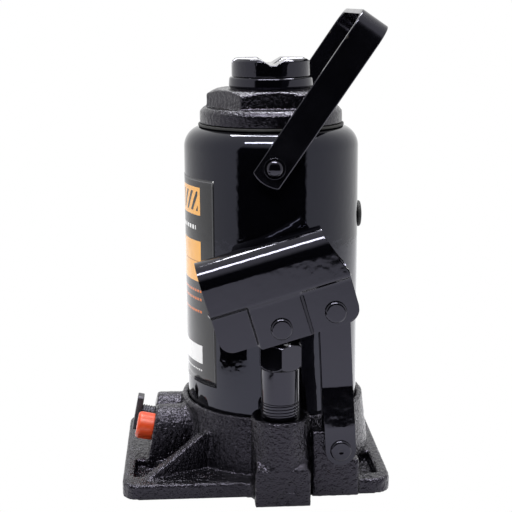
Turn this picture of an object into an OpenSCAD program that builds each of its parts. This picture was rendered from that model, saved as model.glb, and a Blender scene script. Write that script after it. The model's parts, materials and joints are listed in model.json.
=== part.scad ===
// Hydraulic bottle jack: a lever pump and a round oil tank on a cast base, a ram
// that rises out of the top nut, and a screw with a saddle that winds out of the ram.
// Millimetres, +Z up, +X to the right, the pump on the -Y side. The origin is on the
// ram's axis, at the underside of the base.

/* [Ram and screw] */
// Height of the saddle's top with the ram and the screw down
closed_h = 242; // [225:1:300]
// Diameter of the ram
ram_d = 46; // [42:0.5:48]
// Bore of the ram's cylinder
cylinder_bore = 54; // [52:0.5:58]
// Wall of the ram's cylinder
cylinder_wall = 6; // [4:0.5:7]
// Diameter of the ram's collar
collar_d = 49; // [48:0.5:56]
// Height of the ram's collar
collar_h = 6.5; // [5:0.5:10]
// Outer diameter of the extension screw's thread
screw_d = 32.4; // [26:0.2:34]
// Pitch of the extension screw's thread
screw_pitch = 6; // [4:0.5:8]
// How far the extension screw winds out
screw_travel = 60; // [40:1:80]
// Diameter of the saddle
saddle_d = 45.5; // [40:0.5:60]
// Height of the saddle
saddle_h = 10.2; // [8:0.2:14]
// Width of the grooves across the saddle
groove_w = 15; // [10:0.5:18]
// Depth of the grooves across the saddle
groove_depth = 3.4; // [2:0.2:5]

/* [Tank] */
// Outer diameter of the oil tank
tank_d = 102; // [96:1:130]
// Wall of the oil tank
tank_wall = 2.5; // [2:0.5:4]
// Radius of the tank's rounded shoulder
tank_shoulder = 12; // [8:1:13]
// Diameter of the filler plug's head
filler_d = 15.5; // [12:0.5:20]
// Height of the filler plug's centre below the tank's top
filler_drop = 53.5; // [30:0.5:80]
// Height of the label
label_h = 121; // [60:1:125]
// Angle that the label covers round the tank
label_angle = 94; // [60:1:120]
// Height of the label's top edge below the tank's top
label_drop = 27.5; // [20:0.5:40]

/* [Top nut] */
// Width across the top nut's flats
nut_af = 65.3; // [60:0.1:72]
// Height of the top nut's hexagon
nut_h = 10.3; // [8:0.1:16]
// Diameter of the top nut's flange
flange_d = 83; // [80:0.5:90]
// Height of the top nut's flange
flange_h = 9.5; // [6:0.5:12]

/* [Base] */
// Reach of the base plate from the ram's axis to the valve side
base_left = 89.3; // [86:0.1:120]
// Reach of the base plate to the side away from the valves
base_right = 63; // [60:0.5:90]
// How far the base plate reaches past the pump's axis
pump_reach = 1.4; // [0.5:0.1:20]
// Reach of the base plate to the back
base_back = 53; // [50:0.5:80]
// Thickness of the base plate
plate_t = 8.3; // [7:0.1:12]
// Corner radius of the base plate
plate_corner = 10; // [4:0.5:12]
// Height of the round collar that holds the tank
collar_top = 41.5; // [36:0.5:46]
// Wall of that collar at its top
collar_wall = 3.2; // [2.5:0.1:6]
// Height of the floor under the ram
floor_z = 22; // [21:0.5:24]

/* [Pump] */
// Diameter of the plunger
plunger_d = 12; // [10:0.5:13]
// Diameter of the pump cylinder's barrel
pump_d = 21.5; // [20:0.5:24]
// Diameter of the pump cylinder's thread
pump_thread_d = 22; // [20.5:0.5:25]
// Height of the pump cylinder's top
pump_top = 90.8; // [84:0.2:91]
// Width across the flats of the pump cylinder's hexagon
pump_af = 22.4; // [21:0.1:23]
// Height of that hexagon
pump_hex_h = 14.8; // [10:0.2:20]
// Radius of the round boss that the pump screws into
pump_boss_r = 16.2; // [15:0.1:17]
// Height of that boss
pump_boss_h = 48; // [44:0.5:52]
// Width of the square foot under the boss
foot_w = 30.4; // [28:0.2:31]
// Height of the square foot
foot_h = 21.4; // [16:0.2:24]

/* [Lever] */
// Outer width of the handle socket
socket_w = 26.5; // [24:0.5:32]
// Thickness of the socket's sheet
sheet_t = 2.5; // [2:0.1:3]
// Height of the plunger's pin at rest
pin_z = 101; // [100.6:0.1:106]
// Distance between the plunger's pin and the link's upper pin
pin_span = 30.7; // [28:0.1:34]
// Slope of the socket at rest
tilt = 16.25; // [14:0.25:18]
// Diameter of the three pins
pin_d = 8; // [6:0.5:9]
// Diameter of the pins' heads
pin_head_d = 12; // [10:0.5:14]
// Distance from the ram's axis to the link's lower pin, along X
lug_x = 33.2; // [31:0.1:36]
// Height of the link's lower pin
lug_z = 29; // [26:0.5:32]
// Width of the link's plates
link_w = 17; // [14:0.5:18]
// Thickness of the link's plates
link_t = 3; // [2.5:0.1:3.5]

/* [Valves] */
// Distance from the ram's axis to the face that the valves stand on
valve_face = 72.6; // [70:0.1:80]
// Upward slope of both valves
valve_slope = 11.4; // [8:0.1:14]
// Diameter of the release valve's stem
stem_d = 9.8; // [8:0.2:10]
// Length of the release valve's cross bar
bar_l = 22; // [16:0.5:26]
// Diameter of the safety valve's cap
cap_d = 16.2; // [13:0.2:18]
// Length of the safety valve's cap
cap_l = 10; // [6:0.2:14]

/* [Carry handle] */
// Width of the strap
strap_w = 17; // [12:0.5:18]
// Thickness of the strap
strap_t = 3; // [2:0.1:4]
// Distance from the pivots to the outside of the strap's bridge
handle_reach = 97; // [90:1:130]
// Height of the pivots below the tank's top
pivot_drop = 18.5; // [16:0.5:30]
// Lean of the handle from upright at rest
lean = 34.6; // [-90:0.1:90]

/* [Hidden] */
$fn = 64;
cut = 1; // how far a cutting shape runs past a face
fit = 0.05; // radial clearance of a running fit
joint_gap = 0.3; // gap between faces that pass each other

cast_black = [0.07, 0.07, 0.08];
gloss_black = [0.05, 0.05, 0.06];
steel = [0.55, 0.56, 0.58];
copper = [0.72, 0.42, 0.28];
rubber = [0.09, 0.09, 0.09];
orange = [1.0, 0.35, 0.05];
charcoal = [0.16, 0.16, 0.18];

// Tank
tank_r = tank_d / 2;
tank_inner_r = tank_r - tank_wall;
gasket_t = 1;
groove_z = 28; // bottom of the groove that the tank stands in
annulus_z = 26; // floor of the oil space between the tank and the ram's cylinder
tank_foot = groove_z + gasket_t;

// Heights from the saddle down
saddle_z = closed_h - saddle_h;
ram_top = saddle_z - 0.2;
nut_top = ram_top - collar_h - joint_gap;
flange_z = nut_top - nut_h;
seal_t = 1.5;
tank_top = flange_z - flange_h - seal_t;
pivot_z = tank_top - pivot_drop;
filler_z = tank_top - filler_drop;

// Ram, its cylinder and the top nut
ram_r = ram_d / 2;
bore_r = cylinder_bore / 2;
cylinder_r = bore_r + cylinder_wall;
cylinder_foot = floor_z + gasket_t - 3; // the cylinder stands in a 3 mm seat
cylinder_top = flange_z - 3.5;
skirt_r = cylinder_r + 2.5;
skirt_h = 12;
tank_hole_r = skirt_r + 0.5;
ram_foot = floor_z + 2;
piston_step_r = ram_r - 5;
piston_nut_h = 4;
cup_h = 8;
backing_h = 4;
shoulder_z = ram_foot + piston_nut_h + cup_h + backing_h;
shoulder_h = 10;
wiper_h = 4;
wiper_z = nut_top - 7;
screw_r = screw_d / 2;
screw_grip = 26.6; // threaded length of the ram
screw_relief = 1.8; // extra radius of the bore below the thread
screw_foot = ram_top - screw_grip - screw_travel - joint_gap;
stop_h = 4;
thread_depth = 2;

// Pump and lever
pump_y = -(tank_r + 0.75 + socket_w / 2);
base_front = pump_reach - pump_y;
pump_r = pump_d / 2;
pump_thread_r = pump_thread_d / 2;
pump_seat = floor_z + 2;
plunger_r = plunger_d / 2;
plunger_foot = pump_seat + gasket_t + 2;
eye_r = 8.8;
eye_w = 14;
eye_slot = [-2, 0.15]; // how far the pin moves sideways in the plunger's eye
eye_rise = 0.3; // upright play of the pin in the plunger's eye
pin_r = pin_d / 2;
pin_head_r = pin_head_d / 2;
pin_head_h = 2.2;
clip_t = 1;
clip_r = pin_r + 1.7;
top_pin_x = pin_span * cos(tilt);
top_pin_z = pin_z + pin_span * sin(tilt);
link_len = sqrt(pow(top_pin_x - lug_x, 2) + pow(top_pin_z - lug_z, 2));
link_lean = atan2(top_pin_x - lug_x, top_pin_z - lug_z);
link_end_r = link_w / 2;
lug_t = 9;
link_low_in = lug_t / 2 + joint_gap; // inner face of each plate beside the lug
link_high_in = 3.4; // inner face of each plate in the socket
joggle_low = 18; // height of the joggle's lower end above the lower pin
joggle_high = 40; // height of the joggle's upper end above the lower pin

// Socket, in its own frame: u along it from the plunger's pin, w square to it
socket_r = socket_w / 2;
socket_left = -35;
socket_top = 46;
socket_axis = socket_top - socket_r;
slope_top_u = 36; // where the sloping right end meets the top
slope_low_u = 43.7; // where the sloping right end meets the ears
ear_top = 16.5;
ear_low = -8;
ear_centre_w = socket_r - 1; // outer half width over the centre ears
ear_right_w = socket_r - 2;
ear_left_w = socket_r - 3.75;
ear_split_left = -14;
ear_split_right = 15;
ear_corner = 8;

// Valves
valve_z = 24.6;
safety_y = -15.5;
release_y = 7.5;
valve_hump_r = 12.8;
valve_hump_z = 25.2;
valve_foot_w = 15.5;
valve_bore_r = stem_d / 2 + fit;
valve_bore_l = 28;
tip_r = 3.3;
tip_bore_r = 3.5;
valve_depth = 40;
release_ball_r = 3.2;
safety_ball_r = 2.5;
duct_r = 1.7;
valve_duct_x = -20; // where both valves' ducts rise under the ram
return_x = -42; // where both valves' returns rise into the tank
bar_t = 3.9;
bar_w = 9.5;
bar_out = 9.9;
seal_back = 18; // depth of the release valve's seal behind the face

// Ducts and check valves
delivery_x = 4.5;
delivery_y = -20;
delivery_z = 11;
plug_r = 3;
plug_l = 7;
delivery_seat = 13.5;
delivery_ball_r = 2.6;
check_r = 3.2;
suction_z = 4.2;
suction_y = -42;
suction_seat = 7;
suction_ball_r = 3;
chamber_foot = 10.6;
foot_front = pump_y - pump_boss_r + 0.2;
foot_corner = 3.5;
pocket_d = 5; // depth of the pockets in the plate
rib_t = 6;
rib_top = 28.5;

// Carry handle
handle_turn = -1.9; // turn of the handle's axle about Z
strap_in = tank_r + 1;
strap_out = strap_in + strap_t;
bend_r = 12;
tail_r = 10.7;
tail_arc = 17.5;
rivet_r = 4;
rivet_head_r = 4.6;
washer_r = 6;
washer_t = 0.8;

coil_sides = 6;
coil_steps = 18;

function seat_height(ball, hole) = sqrt(ball * ball - hole * hole) + 0.05;

// A ring between two radii
module ring(outer, inner, h) {
    difference() {
        cylinder(r = outer, h = h);
        translate([0, 0, -cut]) cylinder(r = inner, h = h + 2 * cut);
    }
}

// A plate with round corners, standing on z = 0
module round_plate(x0, x1, y0, y1, r, h) {
    linear_extrude(height = h) {
        translate([x0 + r, y0]) square([x1 - x0 - 2 * r, y1 - y0]);
        translate([x0, y0 + r]) square([x1 - x0, y1 - y0 - 2 * r]);
        for (x = [x0 + r, x1 - r])
            for (y = [y0 + r, y1 - r])
                translate([x, y]) circle(r);
    }
}

// A shaft of ring grooves for a thread: crest radius, depth, pitch, number of grooves
module thread_shaft(r, depth, pitch, count) {
    flank = pitch / 4;
    rotate_extrude()
        polygon(concat([[0, 0]],
            [for (i = [0:count - 1]) for (p = [[r, 0], [r, flank], [r - depth, 2 * flank],
                [r - depth, 3 * flank]]) [p[0], p[1] + i * pitch]],
            [[r, count * pitch], [0, count * pitch]]));
}

// A helical spring standing on z = 0
module coil(r, wire, pitch, turns) {
    rings = coil_steps * turns;
    points = [for (i = [0:rings]) for (j = [0:coil_sides - 1])
        [(r + wire * cos(360 * j / coil_sides)) * cos(360 * i / coil_steps),
         (r + wire * cos(360 * j / coil_sides)) * sin(360 * i / coil_steps),
         wire + pitch * i / coil_steps + wire * sin(360 * j / coil_sides)]];
    lower = [for (i = [0:rings - 1]) for (j = [0:coil_sides - 1])
        [i * coil_sides + j, (i + 1) * coil_sides + j, i * coil_sides + (j + 1) % coil_sides]];
    upper = [for (i = [0:rings - 1]) for (j = [0:coil_sides - 1])
        [(i + 1) * coil_sides + j, (i + 1) * coil_sides + (j + 1) % coil_sides,
         i * coil_sides + (j + 1) % coil_sides]];
    first = [[for (j = [0:coil_sides - 1]) j]];
    last = [[for (j = [coil_sides - 1:-1:0]) rings * coil_sides + j]];
    polyhedron(points = points, faces = concat(lower, upper, first, last), convexity = 10);
}

// Puts a child on a valve's axis: its z = 0 on the sloping face, +z outwards
module on_valve(y) {
    translate([-valve_face, y, valve_z]) rotate([0, valve_slope - 90, 0]) children();
}

// Height of a valve's axis at a distance x from the ram's axis
function valve_axis_z(x) = valve_z - (valve_face + x) * tan(valve_slope);

// Puts a child in the socket's frame: x along the socket, y across, z square to it
module on_socket() {
    translate([0, pump_y, pin_z]) rotate([0, -tilt, 0]) children();
}

// A round bar along Y, centred on y = 0
module cross_bar(r, l) {
    rotate([90, 0, 0]) cylinder(r = r, h = l, center = true);
}

// A headed pin along Y with its head at the front
module headed_pin(front, back) {
    translate([0, back, 0]) rotate([90, 0, 0]) cylinder(r = pin_r, h = back - front);
    translate([0, front, 0]) rotate([90, 0, 0]) cylinder(r = pin_head_r, h = pin_head_h - 0.8);
    translate([0, front - pin_head_h + 0.8, 0]) rotate([90, 0, 0])
        cylinder(r1 = pin_head_r, r2 = pin_head_r - 0.8, h = 0.8);
}

// An open clip that sits in a groove at a pin's back end
module pin_clip() {
    rotate([90, 0, 0]) difference() {
        cylinder(r = clip_r, h = clip_t);
        translate([0, 0, -cut]) cylinder(r = pin_r + 0.02, h = clip_t + 2 * cut);
        translate([-1.5, -clip_r - cut, -cut]) cube([3, clip_r + cut, clip_t + 2 * cut]);
    }
}

// A triangular stiffening rib from the collar's wall down to the plate
module rib(x0, y0, x1, y1) {
    run = sqrt(pow(x1 - x0, 2) + pow(y1 - y0, 2));
    inset = 8;
    translate([x0, y0, 0]) rotate([90, 0, atan2(y1 - y0, x1 - x0)])
        linear_extrude(height = rib_t, center = true)
            polygon([[-inset, 1], [-inset, rib_top + 1], [0, rib_top], [run, plate_t - 0.7], [run, 1]]);
}

// The two humps side by side that hold the valves
module valve_humps() {
    far = -valve_face - 12;
    difference() {
        translate([-30, 0, 0]) rotate([90, 0, -90]) linear_extrude(height = -far - 30) {
            for (y = [safety_y, release_y])
                translate([-y, valve_hump_z]) circle(valve_hump_r);
            polygon([[-release_y - valve_foot_w, 0.5], [-safety_y + valve_foot_w, 0.5],
                [-safety_y + valve_hump_r - 0.2, valve_hump_z],
                [-release_y - valve_hump_r + 0.2, valve_hump_z]]);
        }
        on_valve(0) translate([-60, -60, 0]) cube([120, 120, 60]);
    }
}

// The ear that the link's lower pin passes through
module lug() {
    low_w = 26.2;
    translate([0, pump_y + lug_t / 2, 0]) rotate([90, 0, 0]) linear_extrude(height = lug_t) {
        translate([lug_x - 15.4, 0.5]) square([low_w, lug_z - 8]);
        translate([lug_x, lug_z]) circle(link_end_r + 0.2);
        translate([lug_x - 15.4, 2]) square([11, lug_z + 8]);
    }
}

// The outside of the casting with the tank's collar
module casting_body() {
    collar_r = tank_r + joint_gap + collar_wall;
    difference() {
        round_plate(-base_left, base_right, -base_front, base_back, plate_corner, plate_t);
        for (p = [[-56, 33], [32, 14]])
            translate([44.5, p[0], plate_t - pocket_d]) cube([11.5, p[1], pocket_d + cut]);
        for (p = [[-52, 25], [32, 17]])
            translate([-83, p[0], plate_t - pocket_d]) cube([13, p[1], pocket_d + cut]);
    }
    rotate_extrude() polygon([[0, 0.5], [collar_r + 3.6, 0.5], [collar_r + 3.6, plate_t + 2.4],
        [collar_r + 1.6, 26], [collar_r, collar_top], [0, collar_top]]);
    translate([0, pump_y, 0]) cylinder(r = pump_boss_r, h = pump_boss_h);
    translate([0.2, foot_front + 26, 0]) rotate([90, 0, 0]) linear_extrude(height = 26) {
        translate([-foot_w / 2, 0]) square([foot_w, foot_h - foot_corner]);
        translate([foot_corner - foot_w / 2, 0]) square([foot_w - 2 * foot_corner, foot_h]);
        for (x = [foot_corner - foot_w / 2, foot_w / 2 - foot_corner])
            translate([x, foot_h - foot_corner]) circle(foot_corner);
    }
    translate([1.2 - foot_w / 2, 0, 0]) rotate([90, 0, 90]) linear_extrude(height = foot_w - 2)
        polygon([[foot_front + 0.8, foot_h - 2], [foot_front + 0.8, foot_h - 0.4],
            [foot_front + 6, foot_h + 4.6], [foot_front + 20, foot_h + 4.6], [foot_front + 20, foot_h - 2]]);
    translate([-foot_w / 2 + 1.2, pump_y, 0]) cube([foot_w - 2, 24, pump_boss_h - 7]);
    linear_extrude(height = plate_t - 0.5) polygon([[-foot_w / 2 - 6, -base_front + 2],
        [-foot_w / 2 - 6, -base_front], [-foot_w / 2 - 1.5, -base_front - 1.6],
        [-foot_w / 2 + 1, -base_front - 5], [-foot_w / 2 + 1, -base_front + 2]]);
    lug();
    valve_humps();
    rib(-45, -41, -78, -58);
    rib(-47, 34, -78, 47);
}

// The oil ways inside the casting
module casting_ducts() {
    translate([0, 0, groove_z]) ring(tank_r + joint_gap, tank_inner_r - joint_gap, 60);
    translate([0, 0, annulus_z]) cylinder(r = tank_inner_r - 2, h = 60);
    translate([0, 0, floor_z - 3]) cylinder(r = cylinder_r + fit, h = 60);
    // Pump: thread, chamber, suction seat and the counterbore at the boss's top
    translate([0, pump_y, pump_seat]) cylinder(r = pump_thread_r + fit, h = 60);
    translate([0, pump_y, pump_boss_h - 4]) cylinder(r = pump_thread_r + 2.2, h = 10);
    translate([0, pump_y, chamber_foot]) cylinder(r = plunger_r, h = 30);
    translate([0, pump_y, suction_seat]) cylinder(r = check_r + 0.4, h = 10);
    translate([0, pump_y, suction_z]) cylinder(r = duct_r, h = 10);
    translate([0, suction_y, suction_z]) rotate([90, 0, 0]) cylinder(r = duct_r, h = 60);
    translate([0, suction_y, suction_z]) cylinder(r = duct_r, h = 30);
    // Delivery: from the pump's chamber to a check valve under the ram
    translate([delivery_x, delivery_y, delivery_z]) rotate([90, 0, 0]) cylinder(r = duct_r, h = 90);
    translate([delivery_x, delivery_y, delivery_z]) cylinder(r = duct_r, h = 10);
    translate([delivery_x, delivery_y, delivery_seat]) cylinder(r = check_r, h = 20);
    for (p = [[0, suction_z], [delivery_x, delivery_z]])
        translate([p[0], foot_front + plug_l, p[1]]) rotate([90, 0, 0]) cylinder(r = plug_r, h = 20);
    // Both valves: bore, seat, duct to the ram and return to the tank
    for (y = [safety_y, release_y]) {
        on_valve(y) translate([0, 0, -valve_bore_l]) cylinder(r = valve_bore_r, h = 60);
        on_valve(y) translate([0, 0, -valve_depth]) cylinder(r = tip_bore_r, h = 40);
        on_valve(y) translate([0, 0, -(valve_face + valve_duct_x) / cos(valve_slope)])
            cylinder(r = duct_r - 0.3, h = 40);
        translate([valve_duct_x, y, valve_axis_z(valve_duct_x) - 1]) cylinder(r = duct_r - 0.3, h = 20);
        translate([return_x, y, valve_axis_z(return_x)]) cylinder(r = duct_r, h = 20);
    }
    translate([lug_x, pump_y, lug_z]) cross_bar(pin_r + 0.02, 40);
}

module base_casting() {
    color(cast_black) difference() {
        casting_body();
        casting_ducts();
    }
}

module passage_plugs() {
    color(cast_black) for (p = [[0, suction_z], [delivery_x, delivery_z]])
        translate([p[0], foot_front + plug_l - 0.2, p[1]]) rotate([90, 0, 0])
            cylinder(r = plug_r - 0.02, h = plug_l - 0.4);
}

module reservoir_tube() {
    arc = [for (a = [0:10:90]) [tank_r - tank_shoulder * (1 - cos(a)),
        tank_top - tank_shoulder * (1 - sin(a))]];
    inner_r = tank_shoulder - tank_wall;
    inner_arc = [for (a = [90:-10:0]) [tank_inner_r - inner_r * (1 - cos(a)),
        tank_top - tank_wall - inner_r * (1 - sin(a))]];
    color(gloss_black) difference() {
        rotate_extrude($fn = 96) polygon(concat([[tank_r, tank_foot]], arc, [[tank_hole_r, tank_top],
            [tank_hole_r, tank_top - tank_wall]], inner_arc, [[tank_inner_r, tank_foot]]));
        translate([tank_r - 8, 0, filler_z]) rotate([0, 90, 0]) cylinder(r = filler_d / 2 - 2.2, h = 16);
    }
}

module tank_gasket() {
    color(rubber) translate([0, 0, groove_z]) ring(tank_r, tank_inner_r, gasket_t);
}

module tank_label() {
    color(charcoal) rotate([0, 0, 180 - label_angle / 2])
        translate([0, 0, tank_top - label_drop - label_h])
            rotate_extrude(angle = label_angle, $fn = 96) translate([tank_r + 0.03, 0])
                square([0.2, label_h]);
}

module filler_plug() {
    stem_r = filler_d / 2 - 2.25;
    color(rubber) difference() {
        translate([tank_r - 5, 0, filler_z]) rotate([0, 90, 0]) {
            cylinder(r = stem_r, h = 6);
            translate([0, 0, 4]) cylinder(r = filler_d / 2, h = 2.6);
            translate([0, 0, 6.6]) cylinder(r1 = filler_d / 2, r2 = filler_d / 2 - 0.8, h = 0.8);
        }
        translate([0, 0, filler_z - 20]) intersection() {
            cylinder(r = tank_r + 0.05, h = 40);
            translate([0, 0, 20]) rotate([0, 90, 0]) ring(30, stem_r, 80);
        }
    }
}

module ram_cylinder() {
    color(steel) translate([0, 0, cylinder_foot]) ring(cylinder_r, bore_r, cylinder_top - cylinder_foot);
}

module cylinder_gasket() {
    color(copper) translate([0, 0, floor_z - 3]) ring(cylinder_r - 0.2, bore_r, gasket_t);
}

module top_nut() {
    corner_r = nut_af / 2 / cos(30);
    chamfer_h = (corner_r - nut_af / 2) * tan(30);
    color(gloss_black) difference() {
        union() {
            translate([0, 0, flange_z - flange_h]) rotate_extrude() polygon([[0, 0], [flange_d / 2, 0],
                [flange_d / 2, flange_h - 2.5], [flange_d / 2 - 2.5, flange_h], [0, flange_h]]);
            intersection() {
                translate([0, 0, flange_z - cut]) cylinder(r = corner_r, h = nut_h + cut, $fn = 6);
                rotate_extrude() polygon([[0, flange_z - 2], [corner_r + 1, flange_z - 2],
                    [corner_r + 1, nut_top - chamfer_h - tan(30)], [nut_af / 2 - 1, nut_top], [0, nut_top]]);
            }
            translate([0, 0, flange_z - flange_h - skirt_h]) cylinder(r = skirt_r, h = skirt_h + 1);
        }
        translate([0, 0, flange_z - flange_h - skirt_h - cut])
            cylinder(r = cylinder_r + 0.02, h = cylinder_top + 0.5 - flange_z + flange_h + skirt_h + cut);
        translate([0, 0, cylinder_top - 5]) cylinder(r = ram_r + 2 * fit, h = 60);
        translate([0, 0, wiper_z]) cylinder(r = ram_r + 3, h = wiper_h);
    }
}

module top_seal() {
    color(rubber) translate([0, 0, tank_top]) ring(flange_d / 2 + 1, tank_hole_r, seal_t);
}

module ram_wiper() {
    color(rubber) translate([0, 0, wiper_z]) ring(ram_r + 3, ram_r + 0.06, wiper_h);
}

module ram() {
    color(gloss_black) difference() {
        rotate_extrude() polygon([[0, ram_foot], [piston_step_r, ram_foot], [piston_step_r, shoulder_z],
            [bore_r - 2 * fit, shoulder_z], [bore_r - 2 * fit, shoulder_z + shoulder_h],
            [ram_r, shoulder_z + shoulder_h], [ram_r, nut_top + joint_gap],
            [collar_d / 2, nut_top + joint_gap], [collar_d / 2, ram_top - 1.6],
            [collar_d / 2 - 1.6, ram_top], [0, ram_top]]);
        translate([0, 0, ram_top - screw_grip - cut]) cylinder(r = screw_r + 2 * fit, h = 80);
        translate([0, 0, screw_foot - stop_h - 2])
            cylinder(r = screw_r + screw_relief, h = ram_top - screw_grip - screw_foot + stop_h + 2);
    }
}

module piston_nut() {
    color(steel) translate([0, 0, ram_foot]) ring(bore_r - 1, piston_step_r + 0.02, piston_nut_h);
}

module piston_cup() {
    color(rubber) translate([0, 0, ram_foot + piston_nut_h]) ring(bore_r - fit, piston_step_r + 0.02, cup_h);
}

module piston_backing_ring() {
    color(steel) translate([0, 0, ram_foot + piston_nut_h + cup_h])
        ring(bore_r - 0.3, piston_step_r + 0.02, backing_h);
}

module extension_screw() {
    count = floor((ram_top - screw_foot) / screw_pitch);
    plain_foot = screw_foot + count * screw_pitch;
    color(gloss_black) difference() {
        union() {
            translate([0, 0, screw_foot]) thread_shaft(screw_r, thread_depth, screw_pitch, count);
            translate([0, 0, plain_foot - 0.01]) cylinder(r = screw_r, h = saddle_z - plain_foot + cut);
            translate([0, 0, screw_foot - stop_h - 1]) cylinder(r = screw_r - 4, h = stop_h + 2);
            rotate_extrude() polygon([[0, saddle_z], [saddle_d / 2, saddle_z],
                [saddle_d / 2, closed_h - 1.5], [saddle_d / 2 - 1.5, closed_h], [0, closed_h]]);
        }
        for (a = [0, 90]) rotate([90, 0, a]) linear_extrude(height = saddle_d + 10, center = true)
            polygon([[-groove_w / 2 - 1, closed_h + 1], [1.5 - groove_w / 2, closed_h - 0.7],
                [-groove_w / 9, closed_h - groove_depth], [groove_w / 9, closed_h - groove_depth],
                [groove_w / 2 - 1.5, closed_h - 0.7], [groove_w / 2 + 1, closed_h + 1]]);
    }
}

module screw_stop_ring() {
    color(steel) translate([0, 0, screw_foot - stop_h])
        ring(screw_r + screw_relief - joint_gap, screw_r - 4 + fit, stop_h - 0.05);
}

module pump_cylinder() {
    pitch = 1.5;
    thread_top = 57;
    count = floor((thread_top - pump_seat - gasket_t) / pitch);
    corner_r = pump_af / 2 / cos(30);
    hex_z = pump_top - pump_hex_h;
    drop = (corner_r - pump_af / 2) * tan(45);
    color(gloss_black) translate([0, pump_y, 0]) difference() {
        union() {
            translate([0, 0, pump_seat + gasket_t]) thread_shaft(pump_thread_r, 0.8, pitch, count);
            translate([0, 0, thread_top - 2]) cylinder(r = pump_r, h = hex_z - thread_top + 3);
            intersection() {
                translate([0, 0, hex_z]) rotate([0, 0, 30]) cylinder(r = corner_r, h = pump_hex_h, $fn = 6);
                rotate_extrude() polygon([[0, hex_z], [pump_af / 2 - 0.4, hex_z],
                    [corner_r + 1, hex_z + drop + 1.4], [corner_r + 1, pump_top - drop - 1.4],
                    [pump_af / 2 - 0.4, pump_top], [0, pump_top]]);
            }
        }
        translate([0, 0, pump_seat]) cylinder(r = plunger_r + fit, h = 100);
    }
}

module pump_washer() {
    color(copper) translate([0, pump_y, pump_seat]) ring(pump_thread_r - 0.5, plunger_r + 0.5, gasket_t);
}

module pump_plunger() {
    slot_r = pin_r + eye_rise;
    color(steel) translate([0, pump_y, 0]) difference() {
        union() {
            translate([0, 0, plunger_foot]) cylinder(r = plunger_r, h = pin_z - plunger_foot);
            translate([0, 0, pin_z]) cross_bar(eye_r, eye_w);
        }
        translate([0, 0, plunger_foot + 3]) ring(plunger_r + 1, plunger_r - 1.6, 5);
        for (x = eye_slot) translate([x, 0, pin_z]) cross_bar(slot_r, eye_w + 2);
        translate([eye_slot[0], -eye_w / 2 - cut, pin_z - slot_r])
            cube([eye_slot[1] - eye_slot[0], eye_w + 2 * cut, 2 * slot_r]);
    }
}

module plunger_seal() {
    color(rubber) translate([0, pump_y, plunger_foot + 3]) ring(plunger_r + 0.02, plunger_r - 1.6, 3);
}

module plunger_backup_ring() {
    color(charcoal) translate([0, pump_y, plunger_foot + 6]) ring(plunger_r, plunger_r - 1.6, 2);
}

module suction_ball() {
    color(steel) translate([0, pump_y, suction_seat + seat_height(suction_ball_r, duct_r)])
        sphere(r = suction_ball_r);
}

module suction_strainer() {
    color(copper) translate([0, suction_y, annulus_z]) difference() {
        cylinder(r = 3.4, h = 4);
        translate([0, 0, -cut]) cylinder(r = 2.6, h = 4 + cut - 0.6);
    }
}

module delivery_ball() {
    color(steel) translate([delivery_x, delivery_y, delivery_seat + seat_height(delivery_ball_r, duct_r)])
        sphere(r = delivery_ball_r);
}

module delivery_spring() {
    foot = delivery_seat + seat_height(delivery_ball_r, duct_r) + delivery_ball_r * 0.75;
    color(steel) translate([delivery_x, delivery_y, foot]) coil(1.9, 0.25, (floor_z - 2.6 - foot) / 2, 2);
}

module delivery_stop() {
    color(steel) translate([delivery_x, delivery_y, floor_z - 1.9]) ring(check_r - 0.02, 1.2, 1.8);
}

// One plate of the link: flat at both ends with a joggle between
module link_plate() {
    difference() {
        intersection() {
            rotate([0, link_lean, 0]) rotate([90, 0, 90]) linear_extrude(height = link_w, center = true)
                polygon([[link_low_in, -20], [link_low_in + link_t, -20],
                    [link_low_in + link_t, joggle_low], [link_high_in + link_t, joggle_high],
                    [link_high_in + link_t, link_len + 20], [link_high_in, link_len + 20],
                    [link_high_in, joggle_high], [link_low_in, joggle_low]]);
            rotate([0, link_lean, 0]) union() {
                translate([0, 10, 0]) cross_bar(link_end_r + 0.4, 20);
                translate([0, 10, link_len]) cross_bar(link_end_r - 0.6, 20);
                translate([-30, 0, 0]) cube([60, 20, link_len]);
            }
        }
        cross_bar(pin_r + fit, 60);
        rotate([0, link_lean, 0]) translate([0, 0, link_len]) cross_bar(pin_r + fit, 60);
    }
}

module link_plates() {
    color(gloss_black) translate([lug_x, pump_y, lug_z]) {
        link_plate();
        mirror([0, 1, 0]) link_plate();
    }
}

module lug_pin() {
    out = link_low_in + link_t + 0.1;
    color(gloss_black) translate([lug_x, pump_y, lug_z]) difference() {
        headed_pin(-out, out + clip_t + 1);
        translate([0, -out - pin_head_h - cut, 0]) rotate([-90, 0, 0])
            cylinder(r1 = 1.6, r2 = 0.5, h = cut + 1);
    }
}

module lug_pin_clip() {
    color(steel) translate([lug_x, pump_y + link_low_in + link_t + 0.2 + clip_t, lug_z]) pin_clip();
}

// The socket's round-topped channel, cut square at the left and sloping at the right
module socket_channel() {
    difference() {
        translate([socket_left, 0, 0]) rotate([90, 0, 90])
            linear_extrude(height = slope_low_u - socket_left) difference() {
                union() {
                    translate([0, socket_axis]) circle(socket_r);
                    translate([-socket_r, ear_top - 2]) square([socket_w, socket_axis - ear_top + 2]);
                }
                translate([0, socket_axis]) circle(socket_r - sheet_t);
                translate([-socket_r + sheet_t, 0]) square([socket_w - 2 * sheet_t, socket_axis]);
            }
        translate([0, 50, 0]) rotate([90, 0, 0]) linear_extrude(height = 100)
            polygon([[slope_top_u, socket_top + 2], [slope_top_u, socket_top - 5],
                [slope_low_u + 0.3, ear_top + 1], [slope_low_u + 20, ear_top + 1],
                [slope_low_u + 20, socket_top + 2]]);
    }
}

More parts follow.
